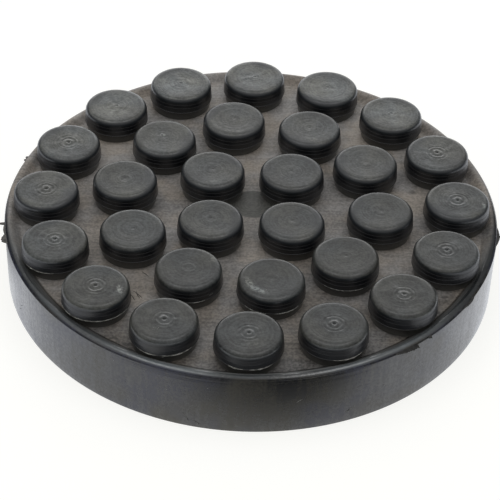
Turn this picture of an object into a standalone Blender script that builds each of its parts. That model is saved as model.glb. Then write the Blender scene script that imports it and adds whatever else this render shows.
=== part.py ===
"""Round rubber pad: a thick moulded disc with a raised lip and rings of round-shouldered studs."""
import math

import bmesh
import bpy

MM = 0.001

# Disc, from the flat underside up
PAD_DIAMETER = 120.0 * MM
PLATE_HEIGHT = 15.1 * MM
WALL_DRAFT = 0.1 * MM
FOOT_EDGE = 0.2 * MM

# Lip round the top of the disc: a gentle slope up from the plate, a round crest and a roll that stops
# at the parting line on top of the wall
LIP_HEIGHT = 1.5 * MM
LIP_ROLL = 1.4 * MM
LIP_ROLL_END_DEGREES = 30.0
LIP_FILLET = 1.3 * MM
LIP_SLOPE_DEGREES = 45.0

# Studs
STUD_HEIGHT = 6.4 * MM
STUD_RADIUS = 8.05 * MM
STUD_DRAFT = 0.2 * MM
SHOULDER_RADIUS = 1.25 * MM
SEAM_HEIGHT = 2.4 * MM
SEAM_STEP = 0.25 * MM
SEAM_THICKNESS = 0.2 * MM
NECK_TAPER = 0.3 * MM
DIMPLE_RADIUS = 0.8 * MM
DIMPLE_DEPTH = 0.35 * MM
ROOT_DEPTH = 2.0 * MM

# Layout: the outer ring takes as many studs as fit with the gap between them. Each ring inside it has
# six fewer at the same pitch, and every ring has a stud on one common diagonal
STUD_TO_EDGE = 2.55 * MM
STUD_GAP = 3.0 * MM
FEWER_EACH_RING = 6
SMALLEST_RING = 3
DIAGONAL = math.radians(135.0)

# Facets
DISC_STEPS = 84
STUD_STEPS = 24
ROLL_SEGMENTS = 2
FILLET_SEGMENTS = 2
SHOULDER_SEGMENTS = 2
SMOOTH_ANGLE = math.radians(50.0)

# Sizes that follow from the ones above
PAD_RADIUS = PAD_DIAMETER / 2
LIP_TOP = PLATE_HEIGHT + LIP_HEIGHT
LIP_CREST_RADIUS = PAD_RADIUS - LIP_ROLL * math.cos(math.radians(LIP_ROLL_END_DEGREES))
LIP_BENDS_RISE = 2 * LIP_FILLET * (1 - math.cos(math.radians(LIP_SLOPE_DEGREES)))
LIP_BENDS_RUN = 2 * LIP_FILLET * math.sin(math.radians(LIP_SLOPE_DEGREES))
LIP_SLOPE_RUN = (LIP_HEIGHT - LIP_BENDS_RISE) / math.tan(math.radians(LIP_SLOPE_DEGREES))
LIP_FOOT_RADIUS = LIP_CREST_RADIUS - LIP_BENDS_RUN - LIP_SLOPE_RUN
NECK_RADIUS = STUD_RADIUS - SEAM_STEP
STUD_FOOT_RADIUS = NECK_RADIUS - NECK_TAPER
STUD_TOP = PLATE_HEIGHT + STUD_HEIGHT
SEAM_LEVEL = PLATE_HEIGHT + SEAM_HEIGHT
OUTER_RING_RADIUS = PAD_RADIUS - STUD_TO_EDGE - STUD_FOOT_RADIUS
OUTER_RING_COUNT = int(math.pi / math.asin((STUD_RADIUS + STUD_GAP / 2) / OUTER_RING_RADIUS))
STUD_PITCH = 2 * OUTER_RING_RADIUS * math.sin(math.pi / OUTER_RING_COUNT)


def arc(centre, radius, first, last, segments):
    """Points of an arc in the radius and height plane, angles in degrees from the outward axis."""
    points = []
    for step in range(segments + 1):
        angle = math.radians(first + (last - first) * step / segments)
        points.append((centre[0] + radius * math.cos(angle), centre[1] + radius * math.sin(angle)))
    return points


def disc_profile():
    """From the edge of the plate over the lip, down the wall and round the foot to the underside."""
    fillet_centre = (LIP_FOOT_RADIUS, PLATE_HEIGHT + LIP_FILLET)
    inner_fillet = arc(fillet_centre, LIP_FILLET, -90, LIP_SLOPE_DEGREES - 90, FILLET_SEGMENTS)
    crest_centre = (LIP_CREST_RADIUS, LIP_TOP - LIP_FILLET)
    inner_roll = arc(crest_centre, LIP_FILLET, 90 + LIP_SLOPE_DEGREES, 90, FILLET_SEGMENTS)
    roll_centre = (LIP_CREST_RADIUS, LIP_TOP - LIP_ROLL)
    outer_roll = arc(roll_centre, LIP_ROLL, 90, LIP_ROLL_END_DEGREES, ROLL_SEGMENTS)
    foot_radius = PAD_RADIUS - WALL_DRAFT
    foot = [(foot_radius, FOOT_EDGE), (foot_radius - FOOT_EDGE, 0.0)]
    return inner_fillet + inner_roll + outer_roll[1:] + foot


def stud_profile():
    """From the dimple in the middle of the top over the shoulder and the seam down to the root."""
    top_radius = STUD_RADIUS - STUD_DRAFT - SHOULDER_RADIUS
    dimple = [(0.0, STUD_TOP - DIMPLE_DEPTH), (DIMPLE_RADIUS, STUD_TOP)]
    shoulder = arc((top_radius, STUD_TOP - SHOULDER_RADIUS), SHOULDER_RADIUS, 90, 0, SHOULDER_SEGMENTS)
    seam = [(STUD_RADIUS, SEAM_LEVEL), (NECK_RADIUS, SEAM_LEVEL - SEAM_THICKNESS)]
    root = [(STUD_FOOT_RADIUS, PLATE_HEIGHT), (STUD_FOOT_RADIUS, PLATE_HEIGHT - ROOT_DEPTH)]
    return dimple + shoulder + seam + root


def ring_centres(count):
    """Centres of one ring of studs, a stud pitch apart. One stud is in the middle where a ring has no room."""
    if count < SMALLEST_RING:
        return [(0.0, 0.0)]
    radius = STUD_PITCH / (2 * math.sin(math.pi / count))
    turns = [DIAGONAL + 2 * math.pi * number / count for number in range(count)]
    return [(radius * math.cos(turn), radius * math.sin(turn)) for turn in turns]


def turned_mesh(name, profile, steps, collection):
    """Turns a profile round the upright axis and closes its open ends with flat faces."""
    outline = bpy.data.meshes.new(name)
    edges = [(index, index + 1) for index in range(len(profile) - 1)]
    outline.from_pydata([(radius, 0.0, height) for radius, height in profile], edges, [])
    blank = bpy.data.objects.new(name + "_profile", outline)
    collection.objects.link(blank)
    screw = blank.modifiers.new("turn", "SCREW")
    screw.steps = steps
    screw.render_steps = steps
    screw.use_merge_vertices = True
    screw.merge_threshold = 0.00001
    solid = bpy.data.meshes.new_from_object(blank.evaluated_get(bpy.context.evaluated_depsgraph_get()))
    bpy.data.objects.remove(blank)
    shell = bmesh.new()
    shell.from_mesh(solid)
    bmesh.ops.holes_fill(shell, edges=shell.edges, sides=0)
    bmesh.ops.recalc_face_normals(shell, faces=shell.faces)
    shell.to_mesh(solid)
    shell.free()
    return solid


def stud_field(stud):
    """One mesh with a copy of the stud at every place of every ring."""
    field = bmesh.new()
    for count in range(OUTER_RING_COUNT, -1, -FEWER_EACH_RING):
        for x, y in ring_centres(count):
            first = len(field.verts)
            field.from_mesh(stud)
            field.verts.ensure_lookup_table()
            bmesh.ops.translate(field, verts=field.verts[first:], vec=(x, y, 0.0))
    mesh = bpy.data.meshes.new("studs")
    field.to_mesh(mesh)
    field.free()
    return mesh


def black_rubber():
    """Matt black rubber."""
    material = bpy.data.materials.new("black_rubber")
    material.use_nodes = True
    shader = material.node_tree.nodes["Principled BSDF"]
    shader.inputs["Base Color"].default_value = (0.055, 0.055, 0.053, 1.0)
    shader.inputs["Roughness"].default_value = 0.55
    shader.inputs["Metallic"].default_value = 0.0
    return material


def smooth(mesh):
    """Shades the round walls smooth and keeps the hard edges."""
    mesh.shade_smooth()
    mesh.set_sharp_from_angle(angle=SMOOTH_ANGLE)


def new_collection(name):
    """A collection of its own in the scene."""
    collection = bpy.data.collections.new(name)
    bpy.context.scene.collection.children.link(collection)
    return collection


def build():
    """The disc with its studs joined on as one solid."""
    for thing in list(bpy.data.objects):
        bpy.data.objects.remove(thing)
    pad_pieces = new_collection("rubber_pad")
    helpers = new_collection("stud_shapes")

    disc = turned_mesh("disc", disc_profile(), DISC_STEPS, helpers)
    field = stud_field(turned_mesh("stud", stud_profile(), STUD_STEPS, helpers))
    smooth(disc)
    smooth(field)

    studs = bpy.data.objects.new("studs", field)
    helpers.objects.link(studs)
    studs.hide_render = True
    studs.display_type = "WIRE"

    pad = bpy.data.objects.new("rubber_pad", disc)
    pad_pieces.objects.link(pad)
    disc.materials.append(black_rubber())
    union = pad.modifiers.new("studs", "BOOLEAN")
    union.operation = "UNION"
    union.solver = "EXACT"
    union.object = studs


build()
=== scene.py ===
"""A round moulded rubber pad with rings of studs: its looks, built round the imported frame."""
import math
import random
from functools import partial, reduce

import bmesh
import bpy
from mathutils import Euler, Matrix, Vector, noise


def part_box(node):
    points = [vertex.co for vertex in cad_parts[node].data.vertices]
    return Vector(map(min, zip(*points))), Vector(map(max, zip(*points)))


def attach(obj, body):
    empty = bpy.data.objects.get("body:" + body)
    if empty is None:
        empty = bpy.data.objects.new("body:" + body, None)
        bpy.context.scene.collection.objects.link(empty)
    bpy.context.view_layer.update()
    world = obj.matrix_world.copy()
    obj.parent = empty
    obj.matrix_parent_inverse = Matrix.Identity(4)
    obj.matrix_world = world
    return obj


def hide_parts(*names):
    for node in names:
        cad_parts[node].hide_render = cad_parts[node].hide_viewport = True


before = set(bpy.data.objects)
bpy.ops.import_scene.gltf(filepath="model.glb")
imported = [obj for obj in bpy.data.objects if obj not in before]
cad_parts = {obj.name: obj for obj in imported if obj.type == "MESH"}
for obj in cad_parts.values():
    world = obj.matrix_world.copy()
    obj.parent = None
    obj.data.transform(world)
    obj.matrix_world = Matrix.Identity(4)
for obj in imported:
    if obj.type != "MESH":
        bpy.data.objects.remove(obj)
PAD_LOW, PAD_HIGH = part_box("rubber_pad")

bl_info = {
    "name": "Studded Rubber Pad",
    "version": (1, 0, 0),
    "blender": (4, 5, 0),
    "location": "3D View > Sidebar > Rubber Pad",
    "description": "Builds a round moulded rubber pad with a lip, rings of studs and its studio",
    "category": "Add Mesh",
}

MM = 0.001
IMAGE_PIXELS = 500
SENSOR_WIDTH = 36.0
LENS_SHIFT = (0.0004, 0.0235)
NEAREST_SEEN = 0.01
FLOOR_HALF = 4.0
FLOOR_GAP = 0.02 * MM
FEWER_EACH_RING = 6
DISC_STEPS = 480
SLOPE_STEPS = 12
STUD_STEPS = 72
SHARP_EDGE = math.radians(24.0)
LIP_WAVES = 4

# Kinds of stud top, as the rings' points carry them, and the helper for each
BULLSEYE, CLOUDY, PLAIN = range(3)
STUD_HELPERS = {BULLSEYE: "Bullseye Stud", CLOUDY: "Cloudy Stud", PLAIN: "Plain Stud"}


def setting(name, description, default, kind=bpy.props.FloatProperty, **limits):
    """A value that a user can change, as a property of a group."""
    return kind(name=name, description=description, default=default, **limits)


def angle(name, description, degrees):
    """An angle that a user can change."""
    return setting(name, description, math.radians(degrees), unit="ROTATION")


# Lengths in metres, colours, plain numbers and whole numbers that a user can change
length = partial(setting, unit="LENGTH", precision=5)
colour = partial(setting, kind=bpy.props.FloatVectorProperty, subtype="COLOR", size=3, min=0.0, max=1.0)
amount = partial(setting, min=0.0)
whole = partial(setting, kind=bpy.props.IntProperty, min=0)


class PadDiscSettings(bpy.types.PropertyGroup):
    """Sizes of the moulded disc"""
    radius: length("Radius", "Half the overall diameter", (PAD_HIGH.x - PAD_LOW.x) / 2)
    plate_height: length("Plate Height", "Height of the face between the studs", 15.1 * MM)
    wall_draft: length("Wall Draft", "How much the wall leans in towards its foot", 0.1 * MM)
    foot_edge: length("Foot Edge", "Radius of the edge at the foot", 0.2 * MM)
    lip_height: length("Lip Height", "Height of the lip over the plate", 1.5 * MM)
    lip_slope: length("Lip Slope", "Width of the slope from the plate up to the lip", 2.6 * MM)
    lip_roll: length("Lip Roll", "Radius of the lip's outer edge", 1.4 * MM)
    roll_end: angle("Roll End", "Where the roll stops at the parting line, over the horizon", 30.0)
    parting_groove: length("Parting Groove", "Depth of the groove along the parting line", 0.08 * MM)
    lip_waver: length("Lip Waver", "How far the lip wanders up and down", 0.1 * MM)
    lip_dip: length("Lip Dip", "How much lower the lip is at its worn stretch", 0.3 * MM)
    dip_angle: angle("Dip Angle", "Where the lip is worn, round the pad", 130.0)
    dip_width: angle("Dip Width", "How far the worn stretch reaches to each side", 30.0)


class PadStudSettings(bpy.types.PropertyGroup):
    """Sizes and layout of the studs"""
    radius: length("Radius", "Radius of a stud at its seam", 8.05 * MM)
    draft: length("Draft", "How much a stud narrows above its seam", 0.2 * MM)
    shoulder: length("Shoulder", "Radius of the round shoulder", 1.25 * MM)
    dish: length("Dish", "How far the middle of a stud's top is sunk", 0.12 * MM)
    ledge_out: length("Ledge Out", "How far each fine ledge on the side stands out", 0.032 * MM)
    ledge_pitch: length("Ledge Pitch", "Height between two ledges", 0.9 * MM)
    ledges: whole("Ledges", "Fine ledges on a stud's side", 2, min=1)
    seam_height: length("Seam Height", "Height of the seam over the plate", 2.4 * MM)
    seam_step: length("Seam Step", "How far the seam stands out over the neck", 0.25 * MM)
    neck_taper: length("Neck Taper", "How much the neck narrows down to the plate", 0.3 * MM)
    outer_ring: length("Outer Ring", "Radius of the outer ring of studs", 49.95 * MM)
    outer_count: whole("Outer Count", "Studs in the outer ring", 16, min=3)
    diagonal: angle("Diagonal", "Where every ring has a stud", 135.0)
    seed: whole("Seed", "Turns the studs and varies their bloom", 4)


class PadFlashSettings(bpy.types.PropertyGroup):
    """Sizes of the flash left by the mould"""
    skin: length("Skin", "Thickness of the thin flash at the stud seams", 0.07 * MM)
    chip: length("Chip", "Thickness of the ragged flash at the rim", 0.3 * MM)
    seed: whole("Seed", "Roughens the edges of the flash", 11)


class PadMarkSettings(bpy.types.PropertyGroup):
    """Sizes of the scuffs, cuts and crumbs"""
    crumb: length("Crumb", "Size of a torn crumb of rubber", 0.16 * MM)
    cut: length("Cut", "Width of a cut", 0.22 * MM)
    seed: whole("Seed", "Scatters the crumbs", 23)


class PadRubberSettings(bpy.types.PropertyGroup):
    """Colours of the rubber"""
    plate: colour("Plate", "Warm grey bloom on the face between the studs", (0.212, 0.197, 0.180))
    stud_top: colour("Stud Top", "Cool grey bloom on the stud tops", (0.053, 0.056, 0.053))
    side: colour("Side", "Bare black rubber of the sides", (0.0050, 0.0058, 0.0078))
    shoulder: colour("Shoulder", "Rubbed blue grey rubber of the shoulders", (0.016, 0.019, 0.022))
    neck: colour("Neck", "Dusty rubber under the stud seams", (0.030, 0.029, 0.026))
    bead: colour("Bead", "Handled rubber on the crest of the lip", (0.045, 0.051, 0.054))
    lip_dust: colour("Lip Dust", "Dust on the back of the lip", (0.190, 0.196, 0.196))
    wall_dust: colour("Wall Dust", "Mottled dust on the wall", (0.048, 0.047, 0.048))
    patch: colour("Patch", "Grey patch in the middle of the plate", (0.060, 0.060, 0.053))
    flash: colour("Flash", "Thin pale skin at the parting lines", (0.24, 0.24, 0.22))


class PadStageSettings(bpy.types.PropertyGroup):
    """Studio light and camera"""
    distance: length("Distance", "From the middle of the underside to the camera", 484.77 * MM)
    azimuth: angle("Azimuth", "Turn of the camera round the pad", -0.386)
    elevation: angle("Elevation", "Height of the camera over the horizon", 40.065)
    roll: angle("Roll", "Turn of the camera about its own axis", 1.86)
    focal_pixels: amount("Focal Pixels", "Focal length in picture pixels", 1939.8)
    overhead: amount("Overhead", "Brightness of the light overhead", 1.5)
    back: amount("Back", "Brightness of the low light behind the pad", 2.3)
    left: amount("Left", "Extra brightness of the left side", 0.4)
    floor: amount("Floor", "Brightness of the table that the wall mirrors", 0.84)
    floor_far: amount("Far Floor", "Brightness of the table away from the pad", 1.36)
    backdrop: colour("Backdrop", "Colour that the camera sees round the pad", (1.0, 1.0, 0.97))


def group(name):
    """One of the property groups, from the scene."""
    return getattr(bpy.context.scene, name)


def feed(node, inputs):
    """Sets or links some inputs of a node."""
    for key, value in inputs.items():
        if isinstance(value, bpy.types.NodeSocket):
            node.id_data.links.new(value, node.inputs[key])
        else:
            node.inputs[key].default_value = value


def add(tree, kind, inputs=None, **settings):
    """Adds a node to a tree, with its settings and its inputs."""
    node = tree.nodes.new(kind)
    for name, value in settings.items():
        setattr(node, name, value)
    feed(node, inputs or {})
    return node


def result(kind, inputs, output=0, **settings):
    """One output of a new node, in the tree that its linked inputs come from."""
    tree = next(value.id_data for value in inputs.values() if isinstance(value, bpy.types.NodeSocket))
    return add(tree, kind, inputs, **settings).outputs[output]


def maths(operation, first, second=0.0, third=0.0):
    """The result of one Math node."""
    return result("ShaderNodeMath", {0: first, 1: second, 2: third}, operation=operation)


def product(*values):
    """The product of some values."""
    return reduce(partial(maths, "MULTIPLY"), values)


def total(*values):
    """The sum of some values."""
    return reduce(partial(maths, "ADD"), values)


def largest(*values):
    """The largest of some values."""
    return reduce(partial(maths, "MAXIMUM"), values)


def less(share, cut=1.0):
    """One, less a share of a cut."""
    return maths("MULTIPLY_ADD", share, -cut, 1.0)


def away(value, middle=0.0):
    """How far a value lies from a middle one."""
    return maths("ABSOLUTE", maths("SUBTRACT", value, middle))


def ramp(value, low, high, start=0.0, end=1.0):
    """A value mapped from one range to another, with soft ends."""
    inputs = {"Value": value, "From Min": low, "From Max": high, "To Min": start, "To Max": end}
    return result("ShaderNodeMapRange", inputs, interpolation_type="SMOOTHSTEP")


def fade(value, low, high, start=0.0, end=1.0):
    """A value that goes from its start to its end between two lengths in millimetres."""
    return ramp(value, low * MM, high * MM, start, end)


def vary(pattern, spread, low=0.0, high=1.0):
    """A value between two limits from a noise pattern. A smaller spread gives harder edges."""
    return ramp(pattern, 0.5 - spread, 0.5 + spread, low, high)


def blend(share, first, second, mode="MIX"):
    """A mix of two colours."""
    inputs = {0: share}
    for key, colour_in in ((6, first), (7, second)):
        inputs[key] = colour_in if isinstance(colour_in, bpy.types.NodeSocket) else (*colour_in, 1.0)
    return result("ShaderNodeMix", inputs, 2, data_type="RGBA", blend_type=mode)


def tint(base, tone):
    """A colour multiplied by another colour, or made lighter or darker by a tone around one."""
    return blend(1.0, base, tone, "MULTIPLY")


def drift(base, pattern, spread, cool, warm):
    """A colour that drifts between a cool and a warm tint along a noise pattern."""
    return tint(base, blend(vary(pattern, spread), cool, warm))


def speckle(place, scale, detail=3.0, stretch=(1.0, 1.0, 1.0)):
    """Noise on a place, with its scale in speckles to a metre and a stretch along each axis."""
    stretched = result("ShaderNodeMapping", {"Vector": place, "Scale": stretch})
    return result("ShaderNodeTexNoise", {"Vector": stretched, "Scale": scale, "Detail": detail})


def split(place):
    """The x, y and z of a place, and its distance from the upright axis."""
    x, y, z = add(place.id_data, "ShaderNodeSeparateXYZ", {0: place}).outputs
    flat = result("ShaderNodeCombineXYZ", {0: x, 1: y})
    return x, y, z, result("ShaderNodeVectorMath", {0: flat}, "Value", operation="LENGTH")


def oval(place, middle, size, turn=0.0):
    """How far a place lies from an upright oval column, sized in millimetres, with one at its edge."""
    inputs = {
        "Vector": place,
        "Location": (middle[0] * MM, middle[1] * MM, 0.0),
        "Rotation": (0.0, 0.0, math.radians(turn)),
        "Scale": (size[0] * MM, size[1] * MM, 1.0),
    }
    return split(result("ShaderNodeMapping", inputs, vector_type="TEXTURE"))[3]


def rubber(name, roughness, coat=1.0):
    """A new rubber material with a thin waxy gloss, its shader, and the places of its object."""
    material = bpy.data.materials.new(name)
    material.use_nodes = True
    shader = material.node_tree.nodes["Principled BSDF"]
    feed(shader, {"Roughness": roughness, "IOR": 1.5, "Coat Weight": coat, "Coat Roughness": roughness})
    return material, shader, add(material.node_tree, "ShaderNodeTexCoord").outputs["Object"]


def bump(shader, relief, depth):
    """Links a relief, and its depth in metres, to the normals of a shader and its gloss."""
    normal = result("ShaderNodeBump", {"Height": relief, "Distance": depth})
    feed(shader, {"Normal": normal, "Coat Normal": normal})


# Paler and darker parts of the plate's bloom: the middle and the size in millimetres, and how much
BLOOM_PATCHES = (
    ((-36.0, 22.0), (15.0, 20.0), 0.4),
    ((24.0, 35.0), (11.0, 9.0), 0.32),
    ((-20.0, 1.0), (9.0, 9.0), -0.18),
    ((34.0, -16.0), (8.0, 7.0), 0.3),
    ((-16.0, -32.0), (13.0, 8.0), 0.22),
)

# Painted light: how much paler the bloom gets for each metre towards the back and towards the right
PAINTED_LIGHT_TO_BACK = 4.5
PAINTED_LIGHT_TO_RIGHT = -0.8


def bloom(place):
    """The plate's warm grey bloom, cloudy, finely lined across and speckled, with painted light that pales
    it towards the back and the left and painted shade near the lip at the front, and its relief.
    """
    x, y, _, reach = split(place)
    cloud = speckle(place, 90.0)
    lines = speckle(place, 260.0, 4.0, (0.05, 4.5, 1.0))
    grain = speckle(place, 1700.0, 2.0)
    tone = total(
        vary(cloud, 0.14, 0.86, 1.18),
        vary(lines, 0.12, -0.1, 0.1),
        vary(grain, 0.15, -0.2, 0.2),
        product(y, PAINTED_LIGHT_TO_BACK),
        product(x, PAINTED_LIGHT_TO_RIGHT),
    )
    for spot, size, share in BLOOM_PATCHES:
        tone = total(tone, ramp(oval(place, spot, size), 1.0, 0.4, 0.0, share))
    # Painted shade on the plate near the lip at the front
    painted_lip_shade = product(fade(reach, 51.0, 56.0), fade(y, -20.0, -42.0))
    tone = maths("MULTIPLY_ADD", painted_lip_shade, -0.25, tone)
    hue = speckle(place, 120.0, 2.0)
    pale = drift(group("pad_rubber").plate, hue, 0.15, (0.97, 1.0, 1.05), (1.05, 1.0, 0.94))
    return tint(pale, tone), total(lines, grain)


# Grey patch in the middle of the plate and a small stain, in millimetres
PATCH_MIDDLE, PATCH_SIZE = (0.25, 4.1), (5.3, 5.3)
STAIN_MIDDLE, STAIN_SIZE = (40.0, 10.6), (1.0, 1.0)


def plate_rubber():
    """The face between the studs: warm grey bloom, a finely ringed grey patch and a stain."""
    looks = group("pad_rubber")
    material, shader, place = rubber("plate_rubber", 0.55, 0.35)
    pale, relief = bloom(place)
    centred = {"Vector": place, "Location": (-PATCH_MIDDLE[0] * MM, -PATCH_MIDDLE[1] * MM, 0.0)}
    wave = {"Vector": result("ShaderNodeMapping", centred), "Scale": 420.0}
    rings = result("ShaderNodeTexWave", wave, "Fac", wave_type="RINGS", rings_direction="Z")
    patch = tint(looks.patch, ramp(rings, 0.0, 1.0, 0.9, 1.12))
    patch = tint(patch, vary(speckle(place, 1300.0, 2.0), 0.15, 0.8, 1.2))
    inside = ramp(oval(place, PATCH_MIDDLE, PATCH_SIZE), 1.04, 0.96)
    stained = ramp(oval(place, STAIN_MIDDLE, STAIN_SIZE), 1.3, 0.3, 0.0, 0.55)
    feed(shader, {"Base Color": blend(stained, blend(inside, pale, patch), looks.neck)})
    bump(shader, relief, 0.02 * MM)
    return material


def wall_colour(place, upright, grain, cloud):
    """Bare black rubber under mottled dust, paler towards the foot."""
    looks = group("pad_rubber")
    dust = total(
        vary(cloud, 0.12, -0.05, 0.5),
        vary(grain, 0.1, 0.0, 0.35),
        vary(upright, 0.08, 0.0, 0.3),
        fade(split(place)[2], 5.0, 1.0, 0.0, 0.2),
    )
    hue = speckle(place, 60.0, 2.0)
    dusted = drift(looks.wall_dust, hue, 0.1, (0.84, 0.92, 1.30), (1.10, 1.06, 0.86))
    return blend(dust, looks.side, dusted)


def crest_colour(x, y, cloud, right_end):
    """Handled rubber on the lip's crest, with painted highlights to both sides of the front, painted shade
    between them and painted shade at both ends.
    """
    crest = tint(group("pad_rubber").bead, vary(cloud, 0.15, 0.7, 1.3))
    # Painted shade at the right end and at the left end of the crest
    crest = tint(crest, less(right_end, 0.65))
    crest = tint(crest, fade(x, -44.0, -54.0, 1.0, 0.5))
    # Painted highlights to both sides of the front, and painted shade in the middle of the front between
    # them
    aside = away(x, 5.0 * MM)
    painted_glare = product(fade(aside, 10.0, 16.0), fade(aside, 38.0, 30.0, 0.35, 1.0))
    painted_glare = maths("MULTIPLY_ADD", painted_glare, 1.4, 0.6)
    at_front = fade(y, -25.0, -40.0)
    return blend(at_front, crest, tint(crest, painted_glare))


def slope_colour(place, x, y, reach):
    """Bloom and dust on the lip's slope, dustier at the front, with painted shade at its front corners and
    in the crease along its foot.
    """
    dusty = product(fade(reach, 56.3, 57.3), fade(y, 0.0, -25.0))
    # Painted shade on the dust at the front corners of the lip
    shaded = product(fade(away(x), 20.0, 32.0), fade(y, -18.0, -24.0))
    dust = tint(group("pad_rubber").lip_dust, less(shaded, 0.6))
    settled = blend(dusty, bloom(place)[0], dust)
    # Painted shade in the crease at the slope's foot, strongest at the front
    crease_shade = fade(away(reach, 56.6 * MM), 0.5, 0.1)
    crease_shade = product(crease_shade, fade(y, 0.0, -30.0, 0.0, 0.65))
    return tint(settled, less(crease_shade))


def edge_dullness(at, level, right_end, parting):
    """How dull the parting line, at a height in millimetres, and the marks over and under it are."""
    x, y, z, reach = at
    line = fade(away(z, parting * MM), 0.3, 0.1, 0.0, 0.8)
    marked = product(
        fade(z, 13.0, 15.0),
        fade(y, -50.0, -58.0),
        ramp(level, 0.45, 0.6, 0.0, 0.6),
        fade(z, parting + 0.05, parting - 0.05),
    )
    roll_from = fade(x, -36.0, -48.0, 59.5 * MM, 59.1 * MM)
    in_middle = fade(away(x), 14.0, 7.0, 0.3, 0.85)
    at_left = fade(x, -34.0, -46.0, 0.0, 0.75)
    under_roll = product(
        fade(z, parting - 0.1, parting + 0.05),
        fade(maths("SUBTRACT", reach, roll_from), 0.0, 0.4),
        largest(in_middle, at_left),
    )
    at_right = product(right_end, fade(z, parting, parting + 0.1, 0.0, 0.6))
    return largest(line, under_roll, at_right, marked)


def edge_rubber():
    """Lip, wall and underside: dusty slope, handled crest with painted highlights and shade, and black wall
    with mottled dust.
    """
    disc = group("pad_disc")
    plate, parting = disc.plate_height / MM, parting_level(disc) / MM
    material, shader, place = rubber("edge_rubber", 0.13)
    x, y, z, reach = split(place)
    upright = speckle(place, 700.0, stretch=(1.0, 1.0, 0.06))
    level = speckle(place, 450.0, stretch=(0.06, 0.06, 5.0))
    grain = speckle(place, 1500.0, 2.0)
    cloud = speckle(place, 110.0, 4.0)
    right_end = fade(x, 38.0, 52.0)
    dust_end = fade(y, -30.0, 35.0, 58.5 * MM, 60.8 * MM)
    dust_end = maths("MULTIPLY_ADD", right_end, -0.5 * MM, dust_end)
    dusty = product(fade(maths("SUBTRACT", reach, dust_end), 0.6, -0.6), fade(z, plate - 0.5, plate))
    wall = wall_colour(place, upright, grain, cloud)
    crest = crest_colour(x, y, cloud, right_end)
    bare = blend(fade(z, parting + 0.25, parting + 0.6), wall, crest)
    rough = fade(z, parting, parting + 0.5, 0.22, 0.13)
    dull = edge_dullness((x, y, z, reach), level, right_end, parting)
    gloss = product(
        less(largest(dull, product(dusty, 0.6))),
        vary(grain, 0.1, 1.03, 0.77),
        vary(cloud, 0.12, 1.06, 0.84),
        vary(upright, 0.08, 1.02, 0.86),
    )
    finish = {
        "Base Color": blend(dusty, bare, slope_colour(place, x, y, reach)),
        "Roughness": maths("MULTIPLY_ADD", dusty, 0.3, rough),
        "Coat Weight": product(gloss, less(dusty, 0.7)),
        "Specular IOR Level": product(gloss, 0.5),
    }
    feed(shader, finish)
    bump(shader, total(upright, level, cloud), 0.012 * MM)
    return material


# Pale smears on the stud tops: the middle and half the width and length in millimetres, the turn in
# degrees, and how strong
SMEARS = (
    ((-0.3, -32.7), (2.6, 1.1), -65.0, 1.7),
    ((1.9, -35.4), (3.2, 1.2), -28.0, 1.9),
    ((-8.8, -24.8), (0.8, 1.6), 25.0, 0.9),
    ((-22.8, 23.3), (0.9, 0.9), 0.0, 2.6),
    ((14.3, 23.2), (3.6, 0.9), 0.0, 0.5),
    ((-4.9, 25.9), (3.6, 0.8), 0.0, 0.5),
    ((-9.7, 4.7), (3.0, 0.8), 0.0, 0.5),
    ((0.2, -53.6), (4.0, 0.9), 0.0, 0.4),
    ((-29.8, -36.6), (1.0, 2.0), 12.0, 2.8),
    ((56.2, -1.8), (0.6, 1.4), 0.0, 2.0),
)


def carried(place, name, output):
    """What an attribute of the mesh carries, in the same tree as a place."""
    return add(place.id_data, "ShaderNodeAttribute", attribute_name=name).outputs[output]


def top_colour(place, y, reach, grain, rings, tone):
    """Grey bloom of the stud tops with lathe rings, cloudy middles, painted shade on their fronts and
    smears.
    """
    cloud = speckle(place, 230.0, 4.0)
    shade = total(vary(rings, 0.12, 0.79, 1.21), vary(cloud, 0.12, -0.2, 0.2), vary(grain, 0.1, -0.28, 0.28))
    middle = product(carried(place, "cloudy", "Fac"), fade(reach, 6.4, 3.0, 0.0, 0.66))
    # Painted shade on the front of each top, stronger on the studs towards the back of the pad
    behind = fade(split(place)[1], -45.0, 30.0, 0.0, 0.36)
    painted_front_shade = product(behind, fade(y, -3.0, -5.2))
    shade = product(total(product(shade, tone), middle), less(painted_front_shade))
    grainy = ramp(grain, 0.35, 0.6, 0.2, 1.6)
    for spot, size, turn, share in SMEARS:
        rubbed = ramp(oval(place, spot, size, turn), 1.0, 0.3, 0.0, share)
        shade = maths("MULTIPLY_ADD", rubbed, grainy, shade)
    hue = speckle(place, 110.0, 2.0)
    top = drift(group("pad_rubber").stud_top, hue, 0.15, (0.95, 1.0, 1.06), (1.03, 1.0, 0.92))
    return tint(top, shade)


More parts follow.
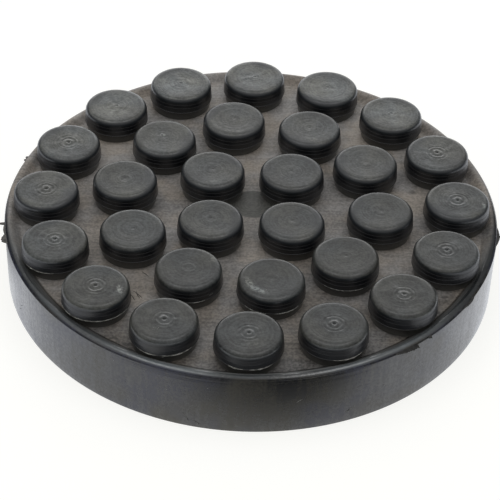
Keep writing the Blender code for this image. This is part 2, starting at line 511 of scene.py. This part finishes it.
def stud_rubber():
    """Studs: grey bloom on the tops, rubbed shoulders, bare black sides and a dusty neck."""
    looks, plate = group("pad_rubber"), group("pad_disc").plate_height / MM
    seam, top = plate + group("pad_studs").seam_height / MM, PAD_HIGH.z / MM
    material, shader, place = rubber("stud_rubber", 0.33, 0.35)
    tone = carried(place, "tone", "Fac")
    _, y, z, reach = split(carried(place, "stud_place", "Vector"))
    rings = speckle(result("ShaderNodeCombineXYZ", {0: reach, 1: tone}), 2000.0, 2.0)
    grain = speckle(place, 1700.0, 2.0)
    neck = tint(looks.neck, fade(z, seam - 0.3, plate, 0.7, 2.4))
    side = blend(fade(z, seam - 0.1, seam - 0.35), looks.side, neck)
    side = blend(fade(z, top - 1.6, top - 1.1), side, looks.shoulder)
    rubbed_and_shaded_to = fade(split(place)[1], -26.0, -12.0, (top - 1.15) * MM, (top - 0.5) * MM)
    # Painted shade: the bloom ends higher on the back of each stud, which darkens its back edge
    rubbed_and_shaded_to = total(rubbed_and_shaded_to, fade(y, 3.5, 6.0, 0.0, 0.34 * MM))
    on_top = fade(maths("SUBTRACT", z, rubbed_and_shaded_to), 0.0, 0.42)
    bloomed = top_colour(place, y, reach, grain, rings, tone)
    feed(shader, {"Base Color": blend(on_top, side, bloomed)})
    bump(shader, total(rings, grain), 0.03 * MM)
    return material


# The flash is thick and dark at the front right of the rim, in millimetres
THICK_MIDDLE, THICK_SIZE = (44.0, -44.0), (20.0, 20.0)


def flash_rubber():
    """Thin skin, crumbs and scratches, pale where the rubber is stretched thin. On the seam flash the pale
    colour is partly a painted highlight.
    """
    material, shader, place = rubber("flash_rubber", 0.35)
    shade = product(
        vary(speckle(place, 900.0), 0.15, 0.35, 1.5),
        ramp(oval(place, THICK_MIDDLE, THICK_SIZE), 1.0, 0.8, 1.0, 0.15),
        fade(split(place)[2], 15.0, 14.5, 1.0, 0.5),
    )
    feed(shader, {"Base Color": tint(group("pad_rubber").flash, shade)})
    return material


def torn_rubber():
    """Ragged flash at the rim and the walls of cuts: dull dark rubber, paler towards the left."""
    material, shader, place = rubber("torn_rubber", 0.5, 0.2)
    feed(shader, {"Specular IOR Level": 0.25})
    grain = speckle(place, 1200.0)
    thin = fade(split(place)[0], 10.0, -20.0, 0.7, 3.0)
    shade = product(vary(grain, 0.2, 0.4, 1.3), thin)
    feed(shader, {"Base Color": tint(group("pad_rubber").neck, shade)})
    bump(shader, grain, 0.05 * MM)
    return material


def lip_reach(disc):
    """How far the foot of the lip's slope and the lip's crest lie from the axis."""
    crest = disc.radius - disc.lip_roll * math.cos(disc.roll_end)
    return crest - disc.lip_slope, crest


def parting_level(disc):
    """Height of the parting line, where the lip's roll ends on top of the wall."""
    return disc.plate_height + disc.lip_height - disc.lip_roll * (1 - math.sin(disc.roll_end))


def arc(centre, radius, first, last, segments):
    """Points of an arc in the radius and height plane, angles in degrees from the outward axis."""
    points = []
    for step in range(segments + 1):
        turn = math.radians(first + (last - first) * step / segments)
        points.append((centre[0] + radius * math.cos(turn), centre[1] + radius * math.sin(turn)))
    return points


def round_place(reach, turn, height=0.0):
    """The place at a distance from the upright axis, a turn round it and a height."""
    return Vector((reach * math.cos(turn), reach * math.sin(turn), height))


def between(start, end, count):
    """Points evenly spaced from one point to another, without the first."""
    return [
        tuple(first + (last - first) * step / count for first, last in zip(start, end))
        for step in range(1, count + 1)
    ]


def placed(name, data):
    """A new object in the scene."""
    thing = bpy.data.objects.new(name, data)
    bpy.context.scene.collection.objects.link(thing)
    return thing


def evaluated(thing):
    """The plain mesh of an object with its modifiers applied. The object is removed."""
    graph = bpy.context.evaluated_depsgraph_get()
    mesh = bpy.data.meshes.new_from_object(thing.evaluated_get(graph))
    bpy.data.objects.remove(thing)
    return mesh


def finished_mesh(name, shell):
    """A plain mesh from a built shell, with its faces pointing out."""
    bmesh.ops.recalc_face_normals(shell, faces=shell.faces)
    mesh = bpy.data.meshes.new(name)
    shell.to_mesh(mesh)
    shell.free()
    return mesh


def turned_mesh(name, profile, steps):
    """Turns a profile of radius and height round the upright axis into a closed mesh."""
    outline = bpy.data.meshes.new(name)
    edges = [(index, index + 1) for index in range(len(profile) - 1)]
    outline.from_pydata([(radius, 0.0, height) for radius, height in profile], edges, [])
    blank = placed(name + "_profile", outline)
    screw = blank.modifiers.new("turn", "SCREW")
    screw.steps = screw.render_steps = steps
    screw.use_merge_vertices = True
    screw.merge_threshold = 0.000001
    shell = bmesh.new()
    shell.from_mesh(evaluated(blank))
    return finished_mesh(name, shell)


def smooth(mesh):
    """Shades the round walls smooth and keeps the hard edges."""
    mesh.shade_smooth()
    mesh.set_sharp_from_angle(angle=SHARP_EDGE)


def show(name, mesh, *materials):
    """Shows a finished mesh as a piece of the pad that rides on its body and takes its finish."""
    piece = placed(name, mesh)
    for material in materials:
        mesh.materials.append(material)
    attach(piece, "root")
    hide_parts("rubber_pad")
    return piece


# The groove: how many degrees before the roll's end it starts, how far its edges lie from the parting
# line, and how far its wall leans out
GROOVE_START = 10
GROOVE_EDGE = 0.05 * MM
GROOVE_LEAN = 0.02 * MM


def disc_profile(disc):
    """From the middle of the plate over the lip, down the wall and round the foot to the middle below."""
    top = disc.plate_height + disc.lip_height
    slope_foot, crest = lip_reach(disc)
    wall_foot = disc.radius - disc.wall_draft
    middle = (0.0, disc.plate_height)
    plate = [middle] + between(middle, (slope_foot, disc.plate_height), 8)
    slope = []
    for step in range(1, SLOPE_STEPS + 1):
        drop = disc.lip_height * (1 + math.cos(math.pi * step / SLOPE_STEPS)) / 2
        slope.append((slope_foot + disc.lip_slope * step / SLOPE_STEPS, top - drop))
    parting = parting_level(disc)
    groove_turn = math.degrees(disc.roll_end) + GROOVE_START
    roll = arc((crest, top - disc.lip_roll), disc.lip_roll, 90, groove_turn, 8)[1:]
    roll.append((roll[-1][0] - disc.parting_groove, roll[-1][1] - GROOVE_EDGE))
    roll.append((roll[-1][0] + GROOVE_LEAN, parting + GROOVE_EDGE))
    wall_top = (disc.radius, parting - GROOVE_EDGE)
    wall = [wall_top] + between(wall_top, (wall_foot, disc.foot_edge), 12)
    edge = arc((wall_foot - disc.foot_edge, disc.foot_edge), disc.foot_edge, 0, -90, 5)[1:]
    return plate + slope + roll + wall + edge + between(edge[-1], (0.0, 0.0), 4)


def worn(turn, middle, width):
    """How strongly a place round the pad lies in a worn stretch: one in its middle, nought outside."""
    apart = abs((turn - middle + math.pi) % (2 * math.pi) - math.pi)
    return math.cos(min(apart / width, 1.0) * math.pi / 2) ** 2


class PAD_OT_disc(bpy.types.Operator):
    """Builds the moulded disc with its lip, wall and foot"""
    bl_idname = "pad.disc"
    bl_label = "Moulded Disc"

    def execute(self, context):
        disc = group("pad_disc")
        mesh = turned_mesh("disc", disc_profile(disc), DISC_STEPS)
        slope_foot = lip_reach(disc)[0]
        for vert in mesh.vertices:
            raised = max(vert.co.z - disc.plate_height, 0.0) / disc.lip_height
            if raised > 0.0:
                turn = math.atan2(vert.co.y, vert.co.x)
                waver = noise.noise(round_place(1.0, turn) * LIP_WAVES) * disc.lip_waver
                dip = worn(turn, disc.dip_angle, disc.dip_width) * disc.lip_dip
                vert.co.z += raised * (waver - dip)
        for face in mesh.polygons:
            on_plate = face.center.xy.length < slope_foot and face.center.z > disc.plate_height / 2
            face.material_index = 0 if on_plate else 1
        smooth(mesh)
        show("moulded_disc", mesh, plate_rubber(), edge_rubber())
        return {"FINISHED"}


# Relief in the middle of each kind of stud top: the radius and the height over the top, in millimetres
TOP_RELIEF = {
    BULLSEYE: (
        (0.0, -0.34), (0.2, -0.30), (0.4, -0.06), (0.75, 0.0), (1.2, -0.14), (1.6, -0.17),
        (1.85, -0.09), (2.1, -0.08), (2.35, -0.14), (2.65, -0.14), (2.8, -0.11),
    ),
    CLOUDY: (
        (0.0, -0.22), (0.3, -0.17), (0.55, -0.07), (0.9, -0.13), (1.2, -0.08), (1.6, -0.13),
        (2.0, -0.09), (2.5, -0.12),
    ),
    PLAIN: (
        (0.0, -0.17), (0.3, -0.15), (0.6, -0.10), (1.1, -0.14), (1.35, -0.105), (1.6, -0.135),
        (2.0, -0.115), (2.4, -0.13),
    ),
}

# The dish round it: the radius in millimetres and the share of the dish's depth
TOP_DISH = ((2.9, 1.0), (5.9, 0.12), (6.45, 0.0))

# The seam: how far out and up its points lie from its edge, in millimetres
SEAM_EDGE = ((-0.06, 0.05), (0.0, 0.0), (0.0, -0.08))

# Where the shoulder starts, in degrees, and small steps down a stud
SHOULDER_START = 85
SHOULDER_DROP = 0.01 * MM
FIRST_LEDGE = 0.5 * MM
LEDGE_EDGE = 0.03 * MM
NECK_DROP = 0.3 * MM
ROOT_DEPTH = 1.0 * MM


def stud_profile(disc, stud, kind):
    """From the middle of the top over the shoulder, the ledges, the seam and the neck to the root."""
    top = PAD_HIGH.z
    flat = stud.radius - stud.draft - stud.shoulder
    seam = disc.plate_height + stud.seam_height
    neck = stud.radius - stud.seam_step
    foot = neck - stud.neck_taper
    root = disc.plate_height - ROOT_DEPTH
    middle = [(radius * MM, top + height * MM) for radius, height in TOP_RELIEF[kind]]
    middle += [(radius * MM, top - share * stud.dish) for radius, share in TOP_DISH]
    shoulder = arc((flat, top - stud.shoulder - SHOULDER_DROP), stud.shoulder, SHOULDER_START, 0, 9)
    side = []
    radius = flat + stud.shoulder
    step_in = stud.ledge_out - stud.draft / stud.ledges
    for ledge in range(stud.ledges):
        level = top - stud.shoulder - FIRST_LEDGE - ledge * stud.ledge_pitch
        radius += stud.ledge_out
        side += [(radius - stud.ledge_out, level), (radius, level - LEDGE_EDGE)]
        radius -= step_in
    low = [(stud.radius + out * MM, seam + up * MM) for out, up in SEAM_EDGE]
    neck_top = (neck, seam - NECK_DROP)
    low += [neck_top] + between(neck_top, (foot, disc.plate_height), 3)
    return middle + shoulder + side + low + [(foot, root), (0.0, root)]


def stud_blank(name, profile):
    """A helper that holds one turned stud, with its own places kept for the material."""
    mesh = turned_mesh(name, profile, STUD_STEPS)
    places = mesh.attributes.new("stud_place", "FLOAT_VECTOR", "POINT")
    for vert in mesh.vertices:
        places.data[vert.index].vector = vert.co
    return placed(name, mesh)


def stud_centre(stud, count, turn):
    """Centre of a stud in the ring of so many, at a place round the pad."""
    pitch = 2 * stud.outer_ring * math.sin(math.pi / stud.outer_count)
    reach = pitch / (2 * math.sin(math.pi / count))
    return round_place(reach, turn)


# How much painted light pales each kind of top from the middle to the back, and how much darker it is
TOP_TONES = {BULLSEYE: (0.42, 0.0), CLOUDY: (0.42, 0.0), PLAIN: (0.25, 0.24)}

# How much painted shade darkens the tops to the right, how much they vary, and the share of the outer ring
# that counts as back
PAINTED_SHADE_TO_RIGHT = 0.10
TONE_SPREAD = 0.06
BACK_SHARE = 0.7


def stud_points(stud):
    """A mesh with one point for every stud, each with its kind of top, its tone and its cloudiness. The tone
    holds the bloom, with painted light that pales the tops towards the back and painted shade that darkens
    them to the right.
    """
    draw = random.Random(stud.seed)
    centres, kinds, tones = [], [], []
    for count in range(stud.outer_count, 0, -FEWER_EACH_RING):
        for number in range(count):
            centre = stud_centre(stud, count, stud.diagonal + 2 * math.pi * number / count)
            at_back = centre.y > BACK_SHARE * stud.outer_ring
            kind = PLAIN if count < stud.outer_count else CLOUDY if at_back else BULLSEYE
            painted_light_slope, rubbed = TOP_TONES[kind]
            # Painted light pales the tops towards the back and painted shade darkens them to the right
            slant = (painted_light_slope * centre.y - PAINTED_SHADE_TO_RIGHT * centre.x) / stud.outer_ring
            centres.append(centre)
            kinds.append(kind)
            tones.append(1.0 + slant - rubbed + draw.uniform(-TONE_SPREAD, TONE_SPREAD))
    cloudy = [kind == CLOUDY for kind in kinds]
    points = bpy.data.meshes.new("stud_points")
    points.from_pydata(centres, [], [])
    for name, values in {"kind": kinds, "tone": tones, "cloudy": cloudy}.items():
        attribute = points.attributes.new(name, "FLOAT", "POINT")
        attribute.data.foreach_set("value", [float(value) for value in values])
    return points


def stud_tree(material):
    """A tree that stands a stud on every point, with a helper for each kind of top."""
    tree = bpy.data.node_groups.new("studs_on_points", "GeometryNodeTree")
    inputs = {"Points": "Geometry", **dict.fromkeys(STUD_HELPERS.values(), "Object"), "Turn Seed": "Int"}
    for name, kind in inputs.items():
        tree.interface.new_socket(name, in_out="INPUT", socket_type="NodeSocket" + kind)
    tree.interface.new_socket("Studs", in_out="OUTPUT", socket_type="NodeSocketGeometry")
    given = add(tree, "NodeGroupInput")
    limits = {1: (0.0, 0.0, 2 * math.pi), "Seed": given.outputs["Turn Seed"]}
    turns = result("FunctionNodeRandomValue", limits, data_type="FLOAT_VECTOR")
    kind = add(tree, "GeometryNodeInputNamedAttribute", {"Name": "kind"}, data_type="FLOAT").outputs[0]
    joined = add(tree, "GeometryNodeJoinGeometry")
    for number, name in STUD_HELPERS.items():
        sought = {0: kind, 1: float(number), "Epsilon": 0.1}
        standing = {
            "Points": given.outputs["Points"],
            "Selection": result("FunctionNodeCompare", sought, data_type="FLOAT", operation="EQUAL"),
            "Instance": result("GeometryNodeObjectInfo", {"Object": given.outputs[name]}, "Geometry"),
            "Rotation": turns,
        }
        feed(joined, {0: result("GeometryNodeInstanceOnPoints", standing)})
    real = result("GeometryNodeRealizeInstances", {0: joined.outputs[0]})
    painted = result("GeometryNodeSetMaterial", {"Geometry": real, "Material": material})
    add(tree, "NodeGroupOutput", {0: painted})
    return tree


def run_tree(name, mesh, tree, values):
    """The plain mesh that a Geometry Nodes tree makes of a mesh, with its named inputs set."""
    carrier = placed(name, mesh)
    modifier = carrier.modifiers.new(name, "NODES")
    modifier.node_group = tree
    for item in tree.interface.items_tree:
        if item.name in values:
            modifier[item.identifier] = values[item.name]
    return evaluated(carrier)


# The grain of the stud tops in millimetres, how close it is, and where the outer ones are rough
TOP_GRAIN, ROUGH_GRAIN = 0.02, 0.07
GRAIN_SCALE = 900
TOP_DEPTH = 0.5 * MM
ROUGH_MIDDLE = 3.0 * MM
ROUGH_FROM = 40.0 * MM

# Heights between which the stud sides waver, and how far out and up, in millimetres, and how closely
SIDE_LOW, SIDE_HIGH = 17.8 * MM, 20.2 * MM
WAVER_OUT, WAVER_UP = 0.04, 0.2
OUT_SCALE, UP_SCALE = 500, 130


def roughen_studs(mesh):
    """Gives the stud tops a grain, rough in the middles of the outer ones, and makes the sides waver."""
    outward = [Vector((*vert.normal.xy, 0.0)) for vert in mesh.vertices]
    places = mesh.attributes["stud_place"].data
    for vert, out, place in zip(mesh.vertices, outward, places):
        if vert.co.z > PAD_HIGH.z - TOP_DEPTH:
            rough = place.vector.xy.length < ROUGH_MIDDLE and vert.co.xy.length > ROUGH_FROM
            vert.co.z += noise.noise(vert.co * GRAIN_SCALE) * (ROUGH_GRAIN if rough else TOP_GRAIN) * MM
        elif SIDE_LOW < vert.co.z < SIDE_HIGH:
            vert.co += out * noise.noise(vert.co * OUT_SCALE) * WAVER_OUT * MM
            vert.co.z += noise.noise(vert.co * UP_SCALE) * WAVER_UP * MM


class PAD_OT_studs(bpy.types.Operator):
    """Builds the rings of studs"""
    bl_idname = "pad.studs"
    bl_label = "Studs"

    def execute(self, context):
        disc, stud = group("pad_disc"), group("pad_studs")
        material = stud_rubber()
        helpers = {}
        for kind, name in STUD_HELPERS.items():
            helpers[name] = stud_blank(name, stud_profile(disc, stud, kind))
            helpers[name].data.materials.append(material)
        values = {**helpers, "Turn Seed": stud.seed}
        mesh = run_tree("stud_rings", stud_points(stud), stud_tree(material), values)
        for helper in helpers.values():
            bpy.data.objects.remove(helper)
        roughen_studs(mesh)
        smooth(mesh)
        show("studs", mesh)
        return {"FINISHED"}


def join_sections(shell, sections):
    """Adds the faces of a bar between its four-cornered cross sections, and closes its ends."""
    for first, second in zip(sections, sections[1:]):
        for corner in range(4):
            following = (corner + 1) % 4
            shell.faces.new((first[corner], second[corner], second[following], first[following]))
    shell.faces.new(sections[0])
    shell.faces.new(reversed(sections[-1]))


# How deep flash is rooted, the fewest sections it has, and a section's turn in degrees at one millimetre
FLASH_ROOT = 0.15 * MM
FEWEST_SECTIONS = 8
SECTION_TURN = 12


def sliver(shell, centre, radius, level, span, peak, reach, thickness, ragged, draw):
    """Adds flash that stands out from a round edge between two angles in degrees, widest at its peak."""
    steps = max(FEWEST_SECTIONS, int(abs(span[1] - span[0]) * radius / MM / SECTION_TURN))
    sections = []
    for step in range(steps + 1):
        share = step / steps
        turn = math.radians(span[0] + (span[1] - span[0]) * share)
        rise = min(share / peak, (1 - share) / (1 - peak))
        width = reach * math.sin(math.pi / 2 * max(rise, 0.05)) ** 0.8
        width *= 1 + ragged * draw.uniform(-1, 1)
        half = thickness / 2 * (1 + ragged * draw.uniform(-1, 1))
        section = []
        for out, up in ((-FLASH_ROOT, -half), (width, -half / 2), (width, half / 2), (-FLASH_ROOT, half)):
            section.append(shell.verts.new(centre + round_place(radius + out, turn, level + up)))
        sections.append(section)
    join_sections(shell, sections)


# Flash at the stud seams: the ring's count, the stud's place, the crescent's ends, all in degrees, and how
# far it stands out, in millimetres. Its pale colour is partly real flash and partly a painted highlight,
# where the seam's edge catches light from above.
SEAM_FLASH = (
    (16, 202.5, (218, 272), 0.24),
    (16, 225.0, (196, 336), 0.20),
    (16, 247.5, (224, 262), 0.18),
    (16, 247.5, (266, 322), 0.24),
    (16, 270.0, (236, 262), 0.26),
    (16, 270.0, (272, 312), 0.26),
    (16, 292.5, (268, 322), 0.20),
    (16, 315.0, (262, 300), 0.16),
    (10, 279.0, (222, 262), 0.14),
    (10, 279.0, (276, 322), 0.18),
    (10, 243.0, (268, 300), 0.12),
    (10, 315.0, (232, 300), 0.12),
)

# Flash at the rim: its ends round the pad in degrees, the place of its peak between them, and how far
# it stands out, in millimetres
RIM_FLASH = (
    ((160.6, 161.6), 0.5, 0.5),
    ((161.7, 162.6), 0.5, 0.45),
    ((186.4, 187.3), 0.3, 1.9),
    ((187.2, 192.0), 0.4, 0.4),
    ((190.6, 194.0), 0.7, 1.2),
    ((303.5, 309.6), 0.93, 1.1),
    ((312.8, 313.9), 0.6, 0.6),
    ((326.0, 331.0), 0.5, 0.4),
    ((350.0, 356.5), 0.5, 0.6),
    ((353.1, 353.9), 0.4, 1.5),
)


class PAD_OT_flash(bpy.types.Operator):
    """Builds the thin flash at the stud seams and the ragged flash at the rim"""
    bl_idname = "pad.flash"
    bl_label = "Mould Flash"

    def execute(self, context):
        disc, stud, flash = group("pad_disc"), group("pad_studs"), group("pad_flash")
        draw = random.Random(flash.seed)
        seam = disc.plate_height + stud.seam_height
        skin = bmesh.new()
        for count, place, span, reach in SEAM_FLASH:
            centre = stud_centre(stud, count, math.radians(place))
            sliver(skin, centre, stud.radius, seam, span, 0.5, reach * MM, flash.skin, 0.3, draw)
        show("seam_flash", finished_mesh("seam_flash", skin), flash_rubber())
        rim = bmesh.new()
        level = parting_level(disc)
        for span, peak, reach in RIM_FLASH:
            sliver(rim, Vector(), disc.radius, level, span, peak, reach * MM, flash.chip, 0.15, draw)
        show("rim_flash", finished_mesh("rim_flash", rim), torn_rubber())
        return {"FINISHED"}


def crumb(shell, place, size, draw):
    """Adds one torn crumb of rubber at a place."""
    sides = [size * draw.uniform(least, 2 * least) for least in (0.6, 0.6, 0.3)]
    grown = Matrix.Translation(place) @ Matrix.Diagonal((*sides, 1.0))
    bmesh.ops.create_icosphere(shell, subdivisions=1, radius=0.5, matrix=grown)


def strand(shell, start, end, width, bow, draw, steps=10):
    """Adds a thin strand that lies between two places, bowed sideways and pointed at its ends."""
    along = end - start
    across = Vector((-along.y, along.x, 0.0)).normalized()
    sections = []
    for step in range(steps + 1):
        share = step / steps
        middle = start + along * share + across * bow * math.sin(math.pi * share)
        middle += across * width * 0.3 * draw.uniform(-1, 1)
        half = width / 2 * math.sin(math.pi * min(max(share, 0.05), 0.95)) ** 0.5
        up = Vector((0.0, 0.0, half))
        corners = (across * half, up, -across * half, -up)
        sections.append([shell.verts.new(middle + corner) for corner in corners])
    join_sections(shell, sections)


# Scuffs of torn crumbs: the middle, how far they scatter, and how many, sizes in millimetres
SCUFFS = (
    ((0.2, -33.6, 21.45), (0.8, 0.8, 0.03), 9),
    ((3.2, -35.8, 21.47), (1.5, 0.5, 0.04), 16),
    ((-29.4, -36.8, 21.47), (0.5, 1.4, 0.04), 40),
    ((-8.9, -34.4, 18.9), (0.5, 0.2, 0.7), 6),
    ((56.3, -1.9, 20.95), (0.25, 0.6, 0.15), 8),
    ((-44.6, -28.7, 17.0), (0.3, 0.2, 0.2), 3),
    ((-21.4, -53.1, 17.4), (0.25, 0.2, 0.15), 6),
    ((-19.1, -54.5, 17.4), (0.25, 0.2, 0.15), 6),
    ((-21.5, -49.8, 21.5), (1.6, 0.5, 0.03), 10),
)

# Cuts and hairs on the plate: both ends and the bow sideways, in millimetres, and whether it is pale
STRANDS = (
    ((-27.3, -29.6), (-24.9, -32.2), 0.2, False),
    ((-26.4, -29.6), (-25.4, -32.3), -0.2, False),
    ((-25.6, -22.6), (-23.7, -24.6), 0.1, False),
    ((-27.9, -30.6), (-26.6, -33.0), 0.1, False),
    ((-11.6, 6.2), (-4.4, 11.9), 0.5, True),
    ((-18.4, 25.5), (-14.8, 21.0), 0.4, True),
)

# Fine scratches on the wall: the degrees round the pad and the height in millimetres at both ends
WALL_SCRATCHES = (
    ((258.5, 2.1), (259.8, 1.2)),
    ((256.1, 4.0), (257.4, 1.8)),
    ((280.6, 8.8), (282.1, 9.8)),
    ((292.0, 2.9), (294.3, 4.3)),
    ((204.7, 4.5), (205.2, 5.0)),
    ((205.8, 6.3), (206.1, 6.8)),
)

# Specks on the wall: the degrees round the pad and the height in millimetres
WALL_SPECKS = ((242.7, 8.4), (261.5, 12.8), (239.7, 13.4), (252.4, 10.1), (301.2, 7.7))


def wall_place(disc, turn, height):
    """A point on the wall, from degrees round the pad and a height in millimetres."""
    return round_place(disc.radius - disc.wall_draft / 2, math.radians(turn), height * MM)


class PAD_OT_marks(bpy.types.Operator):
    """Builds the scuffs, cuts and crumbs"""
    bl_idname = "pad.marks"
    bl_label = "Scuffs and Cuts"

    def execute(self, context):
        disc, marks = group("pad_disc"), group("pad_marks")
        draw = random.Random(marks.seed)
        pale, dark = bmesh.new(), bmesh.new()
        for middle, spread, count in SCUFFS:
            for _ in range(count):
                offset = Vector([draw.gauss(0.0, 0.5) * reach for reach in spread])
                crumb(pale, (Vector(middle) + offset) * MM, marks.crumb, draw)
        for speck in WALL_SPECKS:
            crumb(pale, wall_place(disc, *speck), 2 * marks.crumb, draw)
        for start, end in WALL_SCRATCHES:
            strand(pale, wall_place(disc, *start), wall_place(disc, *end), marks.cut, 0.0, draw)
        for start, end, bow, is_pale in STRANDS:
            ends = [Vector((x * MM, y * MM, disc.plate_height)) for x, y in (start, end)]
            strand(pale if is_pale else dark, *ends, marks.cut, bow * MM, draw)
        show("scuffs", finished_mesh("scuffs", pale), flash_rubber())
        show("cuts", finished_mesh("cuts", dark), torn_rubber())
        return {"FINISHED"}


# Dark parts of the table, in front of the pad and at its left: the middle and the size in
# millimetres, the turn in degrees, and how dark
FLOOR_SHADOWS = (
    ((24.0, -86.0), (60.0, 27.0), 0.0, 0.86),
    ((-78.0, 25.0), (16.0, 40.0), 20.0, 0.75),
)

# Where the light from the table is warm, in millimetres, and its colours there and elsewhere
WARM_MIDDLE, WARM_SIZE = (5.0, -84.0), (60.0, 40.0)
WARM_LIGHT, COOL_LIGHT = (1.0, 1.0, 0.98), (0.965, 0.99, 1.035)


def floor_paint(stage):
    """Pale table with dark parts. The camera sees it as plain white with a soft shadow."""
    material = bpy.data.materials.new("studio_floor")
    material.use_nodes = True
    tree = material.node_tree
    tree.nodes.clear()
    place = add(tree, "ShaderNodeTexCoord").outputs["Object"]
    level = fade(split(place)[3], 75.0, 160.0, stage.floor, stage.floor_far)
    shadows = []
    for middle, size, turn, share in FLOOR_SHADOWS:
        shadows.append(ramp(oval(place, middle, size, turn), 1.15, 0.5, 0.0, share))
    level = product(level, less(largest(*shadows)))
    cool = ramp(oval(place, WARM_MIDDLE, WARM_SIZE), 0.6, 1.4)
    shade = blend(cool, WARM_LIGHT, COOL_LIGHT)
    glow = result("ShaderNodeEmission", {"Color": shade, "Strength": level})
    soft = add(tree, "ShaderNodeBsdfDiffuse", {"Color": (0.3, 0.3, 0.3, 1.0)}).outputs[0]
    white = add(tree, "ShaderNodeEmission", {"Color": (*stage.backdrop, 1.0), "Strength": 0.8}).outputs[0]
    shown = result("ShaderNodeAddShader", {0: soft, 1: white})
    seen = add(tree, "ShaderNodeLightPath").outputs["Is Camera Ray"]
    add(tree, "ShaderNodeOutputMaterial", {0: result("ShaderNodeMixShader", {0: seen, 1: glow, 2: shown})})
    return material


def sky_level(way, stage):
    """How bright the sky is in each direction: lamps overhead, a band low behind, and more at the left."""
    x, y, z, _ = split(way)
    aside = away(x)
    tilt = math.radians(2.0)
    above = maths("MULTIPLY_ADD", z, math.cos(tilt), product(y, math.sin(tilt)))
    overhead = ramp(above, 0.86, 0.97, 0.0, stage.overhead)
    lamps = product(ramp(aside, 0.08, 0.24, 0.15, 1.45), overhead)
    level = total(ramp(z, 0.05, 0.7, 0.12, 0.58), lamps)
    band = product(ramp(away(z, 0.3), 0.28, 0.02), ramp(aside, 0.5, 0.2))
    level = maths("MULTIPLY_ADD", band, ramp(y, 0.1, 0.4, 0.0, stage.back), level)
    at_left = product(ramp(x, -0.35, -0.85, 0.0, stage.left), ramp(z, 0.4, 0.7))
    low_side = product(ramp(aside, 0.4, 0.85), ramp(z, 0.6, 0.3))
    return product(total(level, at_left), less(low_side, 0.65))


def studio_sky(stage):
    """Soft light from overhead and from low behind. The camera itself sees plain white."""
    world = bpy.data.worlds.new("studio")
    bpy.context.scene.world = world
    world.use_nodes = True
    tree = world.node_tree
    tree.nodes.clear()
    way = add(tree, "ShaderNodeTexCoord").outputs["Generated"]
    lit = {"Color": (1.0, 1.0, 1.0, 1.0), "Strength": sky_level(way, stage)}
    light = result("ShaderNodeBackground", lit)
    white = add(tree, "ShaderNodeBackground", {"Color": (*stage.backdrop, 1.0), "Strength": 1.0}).outputs[0]
    rays = add(tree, "ShaderNodeLightPath")
    seen = largest(rays.outputs["Is Camera Ray"], rays.outputs["Is Transmission Ray"])
    add(tree, "ShaderNodeOutputWorld", {0: result("ShaderNodeMixShader", {0: seen, 1: light, 2: white})})


class PAD_OT_stage(bpy.types.Operator):
    """Builds the floor, the light and the camera"""
    bl_idname = "pad.stage"
    bl_label = "Studio"

    def execute(self, context):
        stage = group("pad_stage")
        plane = bmesh.new()
        bmesh.ops.create_grid(plane, x_segments=1, y_segments=1, size=FLOOR_HALF)
        floor = placed("floor", finished_mesh("floor", plane))
        floor.location.z = PAD_LOW.z - FLOOR_GAP
        floor.data.materials.append(floor_paint(stage))
        studio_sky(stage)
        lens = bpy.data.cameras.new("camera")
        lens.sensor_width = SENSOR_WIDTH
        lens.lens = stage.focal_pixels / IMAGE_PIXELS * SENSOR_WIDTH
        lens.shift_x, lens.shift_y = LENS_SHIFT
        lens.clip_start = NEAREST_SEEN
        camera = placed("camera", lens)
        aimed = Euler((math.pi / 2 - stage.elevation, 0.0, stage.azimuth)).to_matrix()
        camera.matrix_world = (aimed @ Matrix.Rotation(stage.roll, 3, "Z")).to_4x4()
        camera.location = aimed @ Vector((0.0, 0.0, stage.distance))
        context.scene.camera = camera
        context.scene.view_settings.view_transform = "Standard"
        return {"FINISHED"}


class PAD_PT_sidebar(bpy.types.Panel):
    """Lists the pieces of the pad, their sizes and their colours"""
    bl_idname = "PAD_PT_sidebar"
    bl_label = "Rubber Pad"
    bl_space_type = "VIEW_3D"
    bl_region_type = "UI"
    bl_category = "Rubber Pad"

    def draw(self, context):
        for settings, kind in GROUPS.items():
            box = self.layout.box()
            if settings in OPERATORS:
                box.operator(OPERATORS[settings].bl_idname)
            for name in kind.__annotations__:
                box.prop(group(settings), name)


GROUPS = {
    "pad_disc": PadDiscSettings,
    "pad_studs": PadStudSettings,
    "pad_flash": PadFlashSettings,
    "pad_marks": PadMarkSettings,
    "pad_rubber": PadRubberSettings,
    "pad_stage": PadStageSettings,
}
OPERATORS = {
    "pad_disc": PAD_OT_disc,
    "pad_studs": PAD_OT_studs,
    "pad_flash": PAD_OT_flash,
    "pad_marks": PAD_OT_marks,
    "pad_stage": PAD_OT_stage,
}


def register():
    for name, kind in GROUPS.items():
        bpy.utils.register_class(kind)
        setattr(bpy.types.Scene, name, bpy.props.PointerProperty(type=kind))
    for kind in (*OPERATORS.values(), PAD_PT_sidebar):
        bpy.utils.register_class(kind)


def unregister():
    for kind in (PAD_PT_sidebar, *reversed(OPERATORS.values())):
        bpy.utils.unregister_class(kind)
    for name, kind in reversed(GROUPS.items()):
        delattr(bpy.types.Scene, name)
        bpy.utils.unregister_class(kind)


def main():
    """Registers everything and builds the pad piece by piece."""
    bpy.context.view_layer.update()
    register()
    bpy.ops.pad.disc()
    bpy.ops.pad.studs()
    bpy.ops.pad.flash()
    bpy.ops.pad.marks()
    bpy.ops.pad.stage()


if __name__ == "__main__":
    main()
